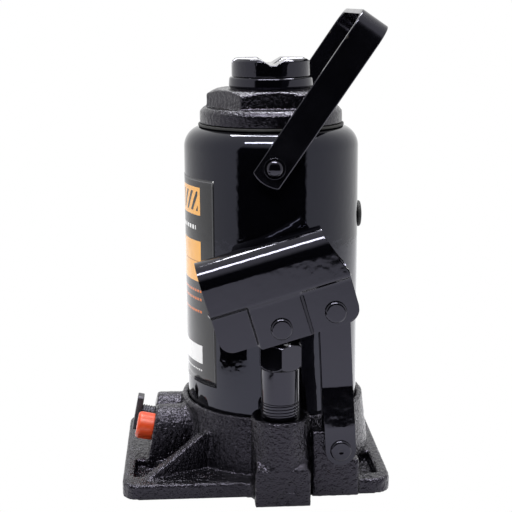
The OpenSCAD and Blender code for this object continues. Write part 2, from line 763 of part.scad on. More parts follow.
// One pair of the socket's ears: from u0 to u1, out to the half width w, down to low
module ear_pair(u0, u1, w, low) {
    for (side = [-1, 1])
        translate([u0, side * (w - sheet_t / 2) - sheet_t / 2, low]) cube([u1 - u0, sheet_t, ear_top - low]);
}

// The band that joins an ear to the channel's side where the ear stands further in
module ear_step(u0, u1, w) {
    for (side = [0, 1]) mirror([0, side, 0])
        translate([u0, w - sheet_t, ear_top - 2]) cube([u1 - u0, socket_r - w + sheet_t, 2.5]);
}

module handle_socket() {
    color(gloss_black) on_socket() difference() {
        union() {
            socket_channel();
            ear_pair(socket_left, ear_split_left, ear_left_w, ear_low + 2);
            ear_step(socket_left, ear_split_left, ear_left_w);
            ear_pair(ear_split_left - 1, ear_split_right + 1, ear_centre_w, ear_low);
            ear_step(ear_split_left - 1, ear_split_right + 1, ear_centre_w);
            ear_pair(ear_split_right, slope_low_u, ear_right_w, ear_low);
            ear_step(ear_split_right, slope_low_u, ear_right_w);
            for (u = [ear_split_left - 0.5, ear_split_right + 0.5]) for (side = [0, 1]) mirror([0, side, 0])
                translate([u - 1, ear_left_w - sheet_t + (u > 0 ? 1.75 : 0), ear_low + 2])
                    cube([2, ear_centre_w - ear_left_w + sheet_t - (u > 0 ? 1.75 : 0), ear_top - ear_low - 3]);
        }
        // Round lower corners of the ears at both ends
        for (c = [[socket_left + ear_corner, -1], [slope_low_u - ear_corner, 1]])
            translate([c[0], 0, ear_low + ear_corner]) difference() {
                translate([c[1] > 0 ? 0 : -20, -30, -20]) cube([20, 60, 20]);
                cross_bar(ear_corner, 80);
            }
        cross_bar(pin_r + 0.02, 60);
        translate([pin_span, 0, 0]) cross_bar(pin_r + 0.02, 60);
    }
}

module link_pin() {
    out = ear_right_w + 0.1;
    color(gloss_black) on_socket() translate([pin_span, 0, 0]) headed_pin(-out, out + clip_t + 0.8);
}

module plunger_pin() {
    out = ear_centre_w + 0.1;
    color(gloss_black) on_socket() headed_pin(-out, out + clip_t + 0.1);
}

module socket_pin_clips() {
    color(steel) on_socket() {
        translate([0, ear_centre_w + 0.1 + clip_t, 0]) pin_clip();
        translate([pin_span, ear_right_w + 0.1 + clip_t, 0]) pin_clip();
    }
}

module release_valve() {
    tip_end = valve_depth - 2 * release_ball_r - 0.8;
    color(steel) on_valve(release_y) difference() {
        union() {
            translate([0, 0, -tip_end]) cylinder(r = tip_r, h = tip_end);
            translate([0, 0, 1 - valve_bore_l]) cylinder(r = stem_d / 2, h = valve_bore_l + bar_out);
            translate([-bar_l / 2, -bar_w / 2, bar_out - bar_t / 2]) cube([bar_l, bar_w, bar_t]);
        }
        translate([0, 0, -seal_back]) ring(stem_d / 2 + 1, stem_d / 2 - 1.5, 2.5);
    }
}

module release_seal() {
    color(rubber) on_valve(release_y) translate([0, 0, 0.1 - seal_back])
        ring(stem_d / 2, stem_d / 2 - 1.45, 2.3);
}

module release_ball() {
    color(steel) on_valve(release_y)
        translate([0, 0, -valve_depth + seat_height(release_ball_r, duct_r - 0.3)]) sphere(r = release_ball_r);
}

module safety_ball() {
    color(steel) on_valve(safety_y)
        translate([0, 0, -valve_depth + seat_height(safety_ball_r, duct_r - 0.3)]) sphere(r = safety_ball_r);
}

module safety_spring() {
    foot = -valve_depth + 2 * safety_ball_r - 0.2;
    color(steel) on_valve(safety_y) translate([0, 0, foot]) coil(2.2, 0.5, (-14.2 - foot - 1) / 7, 7);
}

module safety_screw() {
    color(steel) on_valve(safety_y) translate([0, 0, -14]) difference() {
        cylinder(r = stem_d / 2, h = 8);
        translate([-0.75, -6, 6]) cube([1.5, 12, 3]);
    }
}

module safety_cap() {
    color(orange) on_valve(safety_y) {
        translate([0, 0, -4]) cylinder(r = stem_d / 2, h = 5);
        translate([0, 0, 0.05]) cylinder(r = cap_d / 2, h = cap_l - 0.8);
        translate([0, 0, cap_l - 0.75]) cylinder(r1 = cap_d / 2, r2 = cap_d / 2 - 0.8, h = 0.8);
    }
}

module carry_handle() {
    color(gloss_black) translate([0, 0, pivot_z]) rotate([0, 0, handle_turn]) rotate([0, lean, 0])
        difference() {
            intersection() {
                rotate([90, 0, 90]) linear_extrude(height = strap_w, center = true) difference() {
                    union() {
                        translate([-strap_out, -20]) square([2 * strap_out, handle_reach - bend_r + 20]);
                        translate([bend_r - strap_out, 0]) square([2 * (strap_out - bend_r), handle_reach]);
                        for (y = [bend_r - strap_out, strap_out - bend_r])
                            translate([y, handle_reach - bend_r]) circle(bend_r);
                    }
                    translate([-strap_in, -30]) square([2 * strap_in, handle_reach - bend_r + 30]);
                    translate([bend_r - strap_out, -30])
                        square([2 * (strap_out - bend_r), handle_reach - strap_t + 30]);
                    for (y = [bend_r - strap_out, strap_out - bend_r])
                        translate([y, handle_reach - bend_r]) circle(bend_r - strap_t);
                }
                union() {
                    translate([0, 0, tail_arc - tail_r]) cross_bar(tail_arc, 3 * strap_out);
                    translate([-30, -2 * strap_out, 0]) cube([60, 4 * strap_out, handle_reach + 20]);
                }
            }
            cross_bar(rivet_r + fit, 3 * strap_out);
        }
}

module handle_rivets() {
    color(gloss_black) translate([0, 0, pivot_z]) rotate([0, 0, handle_turn])
        for (side = [0, 1]) mirror([0, side, 0]) difference() {
            union() {
                rotate([90, 0, 0]) cylinder(r = rivet_r, h = strap_out + washer_t + 0.2);
                translate([0, -strap_out - washer_t - 0.15, 0]) rotate([90, 0, 0]) {
                    cylinder(r = rivet_head_r, h = 1);
                    translate([0, 0, 1]) cylinder(r1 = rivet_head_r, r2 = rivet_head_r - 1.8, h = 1.2);
                }
            }
            translate([0, 0, -20]) cylinder(r = tank_r, h = 40, $fn = 96);
        }
}

module handle_washers() {
    color(steel) translate([0, 0, pivot_z]) rotate([0, 0, handle_turn])
        for (side = [0, 1]) mirror([0, side, 0]) translate([0, -strap_out - 0.1, 0]) rotate([90, 0, 0])
            ring(washer_r, rivet_r + 0.02, washer_t);
}

base_casting();
passage_plugs();
reservoir_tube();
tank_gasket();
tank_label();
filler_plug();
ram_cylinder();
cylinder_gasket();
top_nut();
top_seal();
ram_wiper();
ram();
piston_cup();
piston_backing_ring();
piston_nut();
screw_stop_ring();
extension_screw();
pump_cylinder();
pump_washer();
pump_plunger();
plunger_seal();
plunger_backup_ring();
suction_ball();
suction_strainer();
delivery_ball();
delivery_spring();
delivery_stop();
link_plates();
lug_pin();
lug_pin_clip();
handle_socket();
link_pin();
plunger_pin();
socket_pin_clips();
release_valve();
release_seal();
release_ball();
safety_ball();
safety_spring();
safety_screw();
safety_cap();
carry_handle();
handle_rivets();
handle_washers();
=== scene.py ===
import json
import math

import bmesh
import bpy
from mathutils import Matrix, Vector, noise


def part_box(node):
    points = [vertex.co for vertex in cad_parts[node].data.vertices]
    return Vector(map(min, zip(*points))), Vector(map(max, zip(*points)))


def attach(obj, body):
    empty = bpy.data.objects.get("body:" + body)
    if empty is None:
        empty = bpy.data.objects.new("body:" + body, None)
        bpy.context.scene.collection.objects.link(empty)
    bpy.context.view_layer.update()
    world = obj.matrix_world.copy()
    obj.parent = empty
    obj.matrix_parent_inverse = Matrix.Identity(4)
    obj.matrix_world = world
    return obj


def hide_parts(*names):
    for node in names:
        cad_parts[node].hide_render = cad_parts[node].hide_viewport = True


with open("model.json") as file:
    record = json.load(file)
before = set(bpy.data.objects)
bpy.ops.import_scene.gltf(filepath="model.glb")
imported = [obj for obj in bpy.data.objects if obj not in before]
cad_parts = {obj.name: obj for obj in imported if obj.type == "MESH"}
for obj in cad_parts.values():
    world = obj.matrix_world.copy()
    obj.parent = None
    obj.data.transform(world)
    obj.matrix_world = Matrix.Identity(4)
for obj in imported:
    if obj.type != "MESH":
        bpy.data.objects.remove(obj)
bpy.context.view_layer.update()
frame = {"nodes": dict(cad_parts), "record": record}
nodes = frame["nodes"]
mm = 0.001
print("frame loaded:", len(nodes), "nodes")


def place(node):
    low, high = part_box(node)
    return low / mm, high / mm  # corners in millimetres


def middle(node):
    low, high = place(node)
    return (low + high) / 2


# ---- camera, floor and light ----

viewpoint = {
    "eye": (-0.0482, -0.6897, 0.2733), "heading": 3.23, "down": 12.12, "roll": -0.4,
    "lens": 83.0, "sensor": 36.0,
}

studio = {
    "darkHalfAngle": 45.5, "darkEdge": 2.0,  # the dark side of the room, behind the camera
    "ceiling": (0.75, 0.45),  # heights of the view between which the room turns white again
    "white": (1.0, 1.0, 1.0, 1.0), "dark": (0.003, 0.003, 0.004, 1.0), "backdrop": 1.0,
}

table = {"radius": 0.71, "sides": 96, "drop": 0.0003, "colour": (0.55, 0.55, 0.56, 1), "roughness": 0.9}

card = {  # a low black card at the left, seen only as a reflection
    "corners": [(-0.165, -0.245, 0.0), (-0.255, -0.085, 0.0), (-0.255, -0.085, 0.07), (-0.165, -0.245, 0.05)],
    "colour": (0.004, 0.004, 0.005, 1), "roughness": 1.0,
}

lamps = {
    "target": (0, 0, 0.12),
    "overhead front": {"spot": (-0.1, -0.42, 0.95), "size": (0.7, 0.12), "power": 11},
    "overhead back": {"spot": (0.1, 0.25, 1.0), "size": (0.9, 0.14), "power": 16},
}


def addCamera():
    lens = bpy.data.cameras.new("camera")
    lens.lens = viewpoint["lens"]
    lens.sensor_width = viewpoint["sensor"]
    camera = bpy.data.objects.new("camera", lens)
    bpy.context.scene.collection.objects.link(camera)
    turn = (Matrix.Rotation(math.radians(-viewpoint["heading"]), 4, "Z")
            @ Matrix.Rotation(math.radians(90 - viewpoint["down"]), 4, "X")
            @ Matrix.Rotation(math.radians(viewpoint["roll"]), 4, "Z"))
    camera.matrix_world = Matrix.Translation(viewpoint["eye"]) @ turn
    bpy.context.scene.camera = camera


def addAreaLight(name):
    given = lamps[name]
    lamp = bpy.data.lights.new(name, "AREA")
    lamp.shape = "RECTANGLE"
    lamp.size, lamp.size_y = given["size"]
    lamp.energy = given["power"]
    light = bpy.data.objects.new(name, lamp)
    bpy.context.scene.collection.objects.link(light)
    sight = Vector(lamps["target"]) - Vector(given["spot"])
    aim = sight.to_track_quat("-Z", "Y").to_matrix().to_4x4()
    light.matrix_world = Matrix.Translation(given["spot"]) @ aim
    light.visible_camera = False


def addWorld():
    world = bpy.data.worlds.new("studio")
    bpy.context.scene.world = world
    world.use_nodes = True
    tree = world.node_tree
    tree.nodes.clear()
    out = tree.nodes.new("ShaderNodeOutputWorld")
    sky = tree.nodes.new("ShaderNodeBackground")
    backdrop = tree.nodes.new("ShaderNodeBackground")
    backdrop.inputs["Color"].default_value = (1, 1, 1, 1)
    backdrop.inputs["Strength"].default_value = studio["backdrop"]
    seen = tree.nodes.new("ShaderNodeLightPath")
    mix = tree.nodes.new("ShaderNodeMixShader")
    where = tree.nodes.new("ShaderNodeTexCoord")
    flat = tree.nodes.new("ShaderNodeVectorMath")
    flat.operation = "MULTIPLY"
    flat.inputs[1].default_value = (1, 1, 0)
    unit = tree.nodes.new("ShaderNodeVectorMath")
    unit.operation = "NORMALIZE"
    facing = tree.nodes.new("ShaderNodeVectorMath")
    facing.operation = "DOT_PRODUCT"
    heading = math.radians(viewpoint["heading"])
    facing.inputs[1].default_value = (-math.sin(heading), -math.cos(heading), 0)
    room = tree.nodes.new("ShaderNodeMapRange")
    room.interpolation_type = "SMOOTHSTEP"
    outer = studio["darkHalfAngle"] + studio["darkEdge"]
    inner = studio["darkHalfAngle"] - studio["darkEdge"]
    room.inputs["From Min"].default_value = math.cos(math.radians(outer))
    room.inputs["From Max"].default_value = math.cos(math.radians(inner))
    split = tree.nodes.new("ShaderNodeSeparateXYZ")
    above = tree.nodes.new("ShaderNodeMapRange")
    above.interpolation_type = "SMOOTHSTEP"
    above.inputs["From Min"].default_value, above.inputs["From Max"].default_value = studio["ceiling"]
    both = tree.nodes.new("ShaderNodeMath")
    both.operation = "MULTIPLY"
    shade = tree.nodes.new("ShaderNodeMix")
    shade.data_type = "RGBA"
    shade.inputs["A"].default_value = studio["white"]
    shade.inputs["B"].default_value = studio["dark"]
    link = tree.links.new
    link(where.outputs["Generated"], flat.inputs[0])
    link(flat.outputs[0], unit.inputs[0])
    link(unit.outputs[0], facing.inputs[0])
    link(facing.outputs["Value"], room.inputs["Value"])
    link(where.outputs["Generated"], split.inputs[0])
    link(split.outputs["Z"], above.inputs["Value"])
    link(room.outputs[0], both.inputs[0])
    link(above.outputs[0], both.inputs[1])
    link(both.outputs[0], shade.inputs["Factor"])
    link(shade.outputs["Result"], sky.inputs["Color"])
    link(seen.outputs["Is Camera Ray"], mix.inputs["Fac"])
    link(sky.outputs[0], mix.inputs[1])
    link(backdrop.outputs[0], mix.inputs[2])
    link(mix.outputs[0], out.inputs["Surface"])


def addStaged(name, bm, finish, given):
    mesh = bpy.data.meshes.new(name)
    bm.to_mesh(mesh)
    bm.free()
    staged = bpy.data.objects.new(name, mesh)
    bpy.context.scene.collection.objects.link(staged)
    matt = bpy.data.materials.new(finish)
    matt.use_nodes = True
    shader = matt.node_tree.nodes["Principled BSDF"]
    shader.inputs["Base Color"].default_value = given["colour"]
    shader.inputs["Roughness"].default_value = given["roughness"]
    shader.inputs["Specular IOR Level"].default_value = 0.0
    mesh.materials.append(matt)
    staged.visible_camera = False  # it shows only in reflections
    return staged


def addFloor():
    bm = bmesh.new()
    bmesh.ops.create_circle(bm, cap_ends=True, segments=table["sides"], radius=table["radius"])
    floor = addStaged("floor", bm, "paper", table)
    floor.location = (0.0, 0.0, -table["drop"])


def addFlag():
    bm = bmesh.new()
    bm.faces.new([bm.verts.new(corner) for corner in card["corners"]])
    addStaged("flag", bm, "felt", card)


bpy.context.scene.view_settings.view_transform = "Standard"
addCamera()
addWorld()
addFloor()
addFlag()
addAreaLight("overhead front")
addAreaLight("overhead back")
print("camera, floor and light")

# ---- shader groups ----


def newGroup(name, inputs, outputs):
    tree = bpy.data.node_groups.new(name, "ShaderNodeTree")
    for label, kind, value in inputs:
        socket = tree.interface.new_socket(label, in_out="INPUT", socket_type=kind)
        if value is not None:
            socket.default_value = value
    for label, kind in outputs:
        tree.interface.new_socket(label, in_out="OUTPUT", socket_type=kind)
    return tree, tree.nodes.new("NodeGroupInput"), tree.nodes.new("NodeGroupOutput")


def addNode(tree, kind, values=None, **settings):
    node = tree.nodes.new(kind)
    for key, value in settings.items():
        setattr(node, key, value)
    for key, value in (values or {}).items():
        node.inputs[key].default_value = value
    return node


def doMath(tree, operation, first, second=None, clamp=False):
    node = addNode(tree, "ShaderNodeMath", operation=operation, use_clamp=clamp)
    for socket, value in zip(node.inputs, (first, second)):
        if value is None:
            continue
        if isinstance(value, (int, float)):
            socket.default_value = value
        else:
            tree.links.new(value, socket)
    return node.outputs[0]


def buildPeel():
    inputs = [("Vector", "NodeSocketVector", None), ("Scale", "NodeSocketFloat", 250.0),
              ("Depth", "NodeSocketFloat", 0.00002)]
    tree, given, out = newGroup("paintPeel", inputs, [("Normal", "NodeSocketVector")])
    broad = addNode(tree, "ShaderNodeTexNoise", {"Detail": 1.0, "Roughness": 0.4})
    bump = addNode(tree, "ShaderNodeBump", {"Strength": 1.0, "Distance": 1.0})
    tree.links.new(given.outputs["Vector"], broad.inputs["Vector"])
    tree.links.new(given.outputs["Scale"], broad.inputs["Scale"])
    height = doMath(tree, "MULTIPLY", broad.outputs["Fac"], given.outputs["Depth"])
    tree.links.new(height, bump.inputs["Height"])
    tree.links.new(bump.outputs[0], out.inputs["Normal"])
    return tree


def buildCastGrain():
    inputs = [("Vector", "NodeSocketVector", None), ("Scale", "NodeSocketFloat", 420.0),
              ("Depth", "NodeSocketFloat", 0.0002)]
    outputs = [("Normal", "NodeSocketVector"), ("Pits", "NodeSocketFloat")]
    tree, given, out = newGroup("castGrain", inputs, outputs)
    lumps = addNode(tree, "ShaderNodeTexNoise", {"Detail": 3.0, "Roughness": 0.55})
    pits = addNode(tree, "ShaderNodeTexVoronoi", {"Randomness": 1.0})
    finer = doMath(tree, "MULTIPLY", given.outputs["Scale"], 1.3)
    tree.links.new(given.outputs["Vector"], lumps.inputs["Vector"])
    tree.links.new(given.outputs["Scale"], lumps.inputs["Scale"])
    tree.links.new(given.outputs["Vector"], pits.inputs["Vector"])
    tree.links.new(finer, pits.inputs["Scale"])
    near = doMath(tree, "SUBTRACT", 0.35, pits.outputs["Distance"], clamp=True)
    height = doMath(tree, "SUBTRACT", lumps.outputs["Fac"], doMath(tree, "MULTIPLY", near, 0.9))
    bump = addNode(tree, "ShaderNodeBump", {"Strength": 1.0, "Distance": 1.0})
    tree.links.new(doMath(tree, "MULTIPLY", height, given.outputs["Depth"]), bump.inputs["Height"])
    tree.links.new(bump.outputs[0], out.inputs["Normal"])
    tree.links.new(near, out.inputs["Pits"])
    return tree


# edge mask from pointiness, broken up by noise: partly real edge wear, partly painted highlight on edges and
# crests
def buildWearAndHighlight():
    inputs = [("Vector", "NodeSocketVector", None), ("Low", "NodeSocketFloat", 0.53),
              ("High", "NodeSocketFloat", 0.6)]
    tree, given, out = newGroup("edgeWearAndHighlight", inputs, [("Mask", "NodeSocketFloat")])
    shape = addNode(tree, "ShaderNodeNewGeometry")
    breakUp = addNode(tree, "ShaderNodeTexNoise", {"Scale": 900.0, "Detail": 3.0})
    rim = addNode(tree, "ShaderNodeMapRange", interpolation_type="SMOOTHSTEP")
    tree.links.new(given.outputs["Vector"], breakUp.inputs["Vector"])
    tree.links.new(shape.outputs["Pointiness"], rim.inputs["Value"])
    tree.links.new(given.outputs["Low"], rim.inputs["From Min"])
    tree.links.new(given.outputs["High"], rim.inputs["From Max"])
    above = doMath(tree, "SUBTRACT", breakUp.outputs["Fac"], 0.4)
    spots = doMath(tree, "MULTIPLY", above, 4.0, clamp=True)
    tree.links.new(doMath(tree, "MULTIPLY", rim.outputs[0], spots), out.inputs["Mask"])
    return tree


peelGroup = buildPeel()
castGroup = buildCastGrain()
wearAndHighlightGroup = buildWearAndHighlight()

# ---- materials ----


def startMaterial(name):
    material = bpy.data.materials.new(name)
    material.use_nodes = True
    tree = material.node_tree
    coords = addNode(tree, "ShaderNodeTexCoord")
    return material, tree, tree.nodes["Principled BSDF"], coords.outputs["Object"]


def useGroup(tree, group, where, **values):
    node = addNode(tree, "ShaderNodeGroup", node_tree=group)
    tree.links.new(where, node.inputs["Vector"])
    for key, value in values.items():
        node.inputs[key].default_value = value
    return node


def mixColours(tree, factor, first, second):
    node = addNode(tree, "ShaderNodeMix", data_type="RGBA")
    for key, value in (("Factor", factor), ("A", first), ("B", second)):
        if isinstance(value, (tuple, float, int)):
            node.inputs[key].default_value = value
        else:
            tree.links.new(value, node.inputs[key])
    return node.outputs["Result"]


def varyRoughness(tree, shader, where, rough, scale):
    cloud = addNode(tree, "ShaderNodeTexNoise", {"Scale": scale, "Detail": 3.0})
    spread = addNode(tree, "ShaderNodeMapRange", {"From Min": 0.3, "From Max": 0.7, "To Min": rough[0],
                                                  "To Max": rough[1]})
    tree.links.new(where, cloud.inputs["Vector"])
    tree.links.new(cloud.outputs["Fac"], spread.inputs["Value"])
    tree.links.new(spread.outputs[0], shader.inputs["Roughness"])
    return cloud


paintIndex = 1.6
sheetTint = (0.62, 0.61, 0.77, 1)
tankTint = (0.54, 0.55, 0.70, 1)
castTint = (0.54, 0.51, 0.65, 1)
# second cast colour: rust in the pits, and painted highlight on worn edges
castColours = {"paint": (0.0012, 0.0011, 0.0016, 1), "rustAndHighlight": (0.06, 0.016, 0.008, 1)}


def enamel(name, colour, wornAndHighlight, rough, peel, wearAndHighlightRange=(0.56, 0.66), tint=sheetTint):
    material, tree, shader, where = startMaterial(name)
    varyRoughness(tree, shader, where, rough, 60.0)
    shader.inputs["IOR"].default_value = paintIndex
    shader.inputs["Specular Tint"].default_value = tint
    skin = useGroup(tree, peelGroup, where, Scale=peel[0], Depth=peel[1])
    tree.links.new(skin.outputs["Normal"], shader.inputs["Normal"])
    # edges take the lighter second colour: edge wear and painted edge highlight
    wearAndHighlight = useGroup(tree, wearAndHighlightGroup, where, Low=wearAndHighlightRange[0], High=wearAndHighlightRange[1])
    tree.links.new(mixColours(tree, wearAndHighlight.outputs["Mask"], colour, wornAndHighlight), shader.inputs["Base Color"])
    return material


def castPaint(name, grain, rough):
    material, tree, shader, where = startMaterial(name)
    varyRoughness(tree, shader, where, rough, 300.0)
    shader.inputs["IOR"].default_value = paintIndex
    shader.inputs["Specular Tint"].default_value = castTint
    skin = useGroup(tree, castGroup, where, Scale=grain[0], Depth=grain[1])
    tree.links.new(skin.outputs["Normal"], shader.inputs["Normal"])
    patches = addNode(tree, "ShaderNodeTexNoise", {"Scale": 55.0, "Detail": 4.0, "Roughness": 0.6})
    tree.links.new(where, patches.inputs["Vector"])
    above = doMath(tree, "SUBTRACT", patches.outputs["Fac"], 0.6)
    bare = doMath(tree, "MULTIPLY", above, 9.0, clamp=True)
    specks = doMath(tree, "MULTIPLY", skin.outputs["Pits"], bare, clamp=True)
    # worn edges of bare patches take the rust colour: partly rust, partly painted crest highlight
    wearAndHighlight = useGroup(tree, wearAndHighlightGroup, where, Low=0.54, High=0.62)
    rustAndHighlight = doMath(tree, "MAXIMUM", doMath(tree, "MULTIPLY", specks, 1.6, clamp=True),
                  doMath(tree, "MULTIPLY", wearAndHighlight.outputs["Mask"], bare, clamp=True))
    tree.links.new(mixColours(tree, rustAndHighlight, castColours["paint"], castColours["rustAndHighlight"]),
                   shader.inputs["Base Color"])
    return material


def metal(name, colour, rough, scratch, streak=(1.0, 1.0, 0.04)):
    material, tree, shader, where = startMaterial(name)
    shader.inputs["Metallic"].default_value = 1.0
    stretch = addNode(tree, "ShaderNodeMapping", {"Scale": streak})
    tree.links.new(where, stretch.inputs["Vector"])
    lines = varyRoughness(tree, shader, stretch.outputs[0], rough, scratch[0])
    bump = addNode(tree, "ShaderNodeBump", {"Strength": 0.6, "Distance": scratch[1]})
    tree.links.new(lines.outputs["Fac"], bump.inputs["Height"])
    tree.links.new(bump.outputs[0], shader.inputs["Normal"])
    dull = tuple(c * 0.7 for c in colour[:3]) + (1,)
    tree.links.new(mixColours(tree, lines.outputs["Fac"], dull, colour), shader.inputs["Base Color"])
    return material


def softMaterial(name, colour, darker, rough, grain):
    material, tree, shader, where = startMaterial(name)
    cloud = varyRoughness(tree, shader, where, rough, grain[0])
    bump = addNode(tree, "ShaderNodeBump", {"Strength": 1.0, "Distance": grain[1]})
    tree.links.new(cloud.outputs["Fac"], bump.inputs["Height"])
    tree.links.new(bump.outputs[0], shader.inputs["Normal"])
    tree.links.new(mixColours(tree, cloud.outputs["Fac"], darker, colour), shader.inputs["Base Color"])
    return material


def glow(material, weight, radius):
    shader = material.node_tree.nodes["Principled BSDF"]
    shader.inputs["Subsurface Weight"].default_value = weight
    shader.inputs["Subsurface Radius"].default_value = radius


# peel, grain and scratch are (scale, depth in metres)
# the second colour of each enamel is edge wear and painted edge highlight on the rims
tankEnamel = enamel("tankEnamel", (0.0008, 0.0008, 0.0013, 1), wornAndHighlight=(0.012, 0.010, 0.010, 1),
                    rough=(0.03, 0.06), peel=(260.0, 0.00006), tint=tankTint)
sheetEnamel = enamel("sheetEnamel", (0.0009, 0.0009, 0.0014, 1), wornAndHighlight=(0.02, 0.016, 0.013, 1),
                     rough=(0.05, 0.1), peel=(240.0, 0.00005))
strapPaint = enamel("strapPaint", (0.001, 0.001, 0.0015, 1), wornAndHighlight=(0.04, 0.036, 0.03, 1),
                    rough=(0.12, 0.2), peel=(420.0, 0.00003))
castBlack = castPaint("castBlack", grain=(430.0, 0.0011), rough=(0.10, 0.22))
nutBlack = castPaint("nutBlack", grain=(520.0, 0.0006), rough=(0.10, 0.22))
steelMetal = metal("steelMetal", (0.56, 0.57, 0.58, 1), rough=(0.22, 0.4), scratch=(300.0, 0.00002))
chromeMetal = metal("chromeMetal", (0.78, 0.79, 0.8, 1), rough=(0.06, 0.14),
                    scratch=(500.0, 0.000005), streak=(1.0, 1.0, 6.0))
copperMetal = metal("copperMetal", (0.72, 0.42, 0.28, 1), rough=(0.3, 0.5),
                    scratch=(400.0, 0.00002), streak=(1.0, 1.0, 1.0))
valveBlack = enamel("valveBlack", (0.008, 0.008, 0.009, 1), wornAndHighlight=(0.12, 0.11, 0.10, 1),
                    rough=(0.3, 0.5), peel=(900.0, 0.00012), wearAndHighlightRange=(0.52, 0.58))
blackRubber = softMaterial("blackRubber", (0.012, 0.012, 0.012, 1), darker=(0.006, 0.006, 0.006, 1),
                           rough=(0.5, 0.7), grain=(1500.0, 0.00003))
orangePlastic = softMaterial("orangePlastic", (0.52, 0.052, 0.004, 1), darker=(0.44, 0.034, 0.003, 1),
                             rough=(0.32, 0.45), grain=(700.0, 0.00002))
glow(orangePlastic, 0.25, (0.004, 0.001, 0.0005))
print("materials")

# ---- modelling helpers, all in millimetres ----


def newPiece(name, bm, material, body, stands, sharp=38):
    bmesh.ops.remove_doubles(bm, verts=bm.verts, dist=1e-5)
    bmesh.ops.recalc_face_normals(bm, faces=bm.faces)
    return finishPiece(name, bm, material, body, stands, sharp)


def finishPiece(name, bm, material, body, stands, sharp=None):
    bmesh.ops.scale(bm, vec=(mm, mm, mm), verts=bm.verts)
    mesh = bpy.data.meshes.new(name)
    bm.to_mesh(mesh)
    bm.free()
    mesh.materials.append(material)
    mesh.shade_smooth()
    if sharp:
        mesh.set_sharp_from_angle(angle=math.radians(sharp))
    piece = bpy.data.objects.new(name, mesh)
    bpy.context.scene.collection.objects.link(piece)
    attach(piece, body)
    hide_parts(*stands)
    return piece


def weighNormals(piece):
    weigh = piece.modifiers.new("weigh", "WEIGHTED_NORMAL")
    weigh.keep_sharp = True


def softProfile(points, closed, steps=5):
    outline = []
    for i, point in enumerate(points):
        here = Vector(point[:2])
        reach = point[2] if len(point) > 2 else 0.0
        if not reach or (not closed and i in (0, len(points) - 1)):
            outline.append(here)
            continue
        before = here + (Vector(points[i - 1][:2]) - here).normalized() * reach
        after = here + (Vector(points[(i + 1) % len(points)][:2]) - here).normalized() * reach
        for k in range(steps + 1):
            t = k / steps
            outline.append(before * (1 - t) ** 2 + here * 2 * t * (1 - t) + after * t ** 2)
    return outline


def turned(points, steps=64, closed=False, at=(0, 0, 0), along=(0, 0, 1), shape=None):
    bm = bmesh.new()
    rim = [bm.verts.new((r, 0, z)) for r, z in softProfile(points, closed)]
    pairs = list(zip(rim, rim[1:])) + ([(rim[-1], rim[0])] if closed else [])
    edges = [bm.edges.new(pair) for pair in pairs]
    bmesh.ops.spin(bm, geom=rim + edges, cent=(0, 0, 0), axis=(0, 0, 1), angle=2 * math.pi,
                   steps=steps, use_merge=True)
    bmesh.ops.remove_doubles(bm, verts=bm.verts, dist=1e-4)
    if shape:
        for vert in bm.verts:
            shape(vert)
    turn = Vector((0, 0, 1)).rotation_difference(Vector(along)).to_matrix().to_4x4()
    bmesh.ops.transform(bm, matrix=Matrix.Translation(at) @ turn, verts=bm.verts)
    return bm


def together(first, *others):
    for other in others:
        mesh = bpy.data.meshes.new("join")
        other.to_mesh(mesh)
        other.free()
        first.from_mesh(mesh)
        bpy.data.meshes.remove(mesh)
    return first


def cutOff(bm, height, **side):
    everything = list(bm.verts) + list(bm.edges) + list(bm.faces)
    bmesh.ops.bisect_plane(bm, geom=everything, plane_co=(0, 0, height), plane_no=(0, 0, 1), **side)


def helix(radius, depth, pitch, low, high, steps=48):
    bm = bmesh.new()
    start = low - pitch
    root = radius - depth
    profile = [(root, 0), (root, 0.2), (radius, 0.45), (radius, 0.75), (root, 1.0)]
    chain = [bm.verts.new((r, 0, start + t * pitch)) for r, t in profile]
    edges = [bm.edges.new(pair) for pair in zip(chain, chain[1:])]
    turns = math.ceil((high - start) / pitch) + 1
    bmesh.ops.spin(bm, geom=chain + edges, cent=(0, 0, 0), axis=(0, 0, 1), dvec=(0, 0, pitch / steps),
                   angle=2 * math.pi * turns, steps=steps * turns)
    bmesh.ops.remove_doubles(bm, verts=bm.verts, dist=1e-3)
    for height, side in ((low, "clear_inner"), (high, "clear_outer")):
        cutOff(bm, height, **{side: True})
        rim = [edge for edge in bm.edges
               if edge.is_boundary and all(abs(v.co.z - height) < 1e-3 for v in edge.verts)]
        bmesh.ops.contextual_create(bm, geom=rim)
    return bm


def smoothStep(low, high, value):
    t = min(max((value - low) / (high - low), 0.0), 1.0)
    return t * t * (3 - 2 * t)


def bentSheet(across, along, spot):
    bm = bmesh.new()
    bmesh.ops.create_grid(bm, x_segments=across, y_segments=along, size=0.5)
    for vert in bm.verts:
        vert.co = spot(vert.co.x + 0.5, vert.co.y + 0.5)
    return bm


def addWall(piece, thickness):
    wall = piece.modifiers.new("wall", "SOLIDIFY")
    wall.thickness = thickness * mm
    wall.offset = -1
    return wall


def giveThickness(piece, thickness, edge):
    addWall(piece, thickness).use_even_offset = True
    soften = piece.modifiers.new("soften", "BEVEL")
    soften.width = edge * mm
    soften.segments = 4
    soften.limit_method = "ANGLE"
    soften.angle_limit = math.radians(50)
    weighNormals(piece)


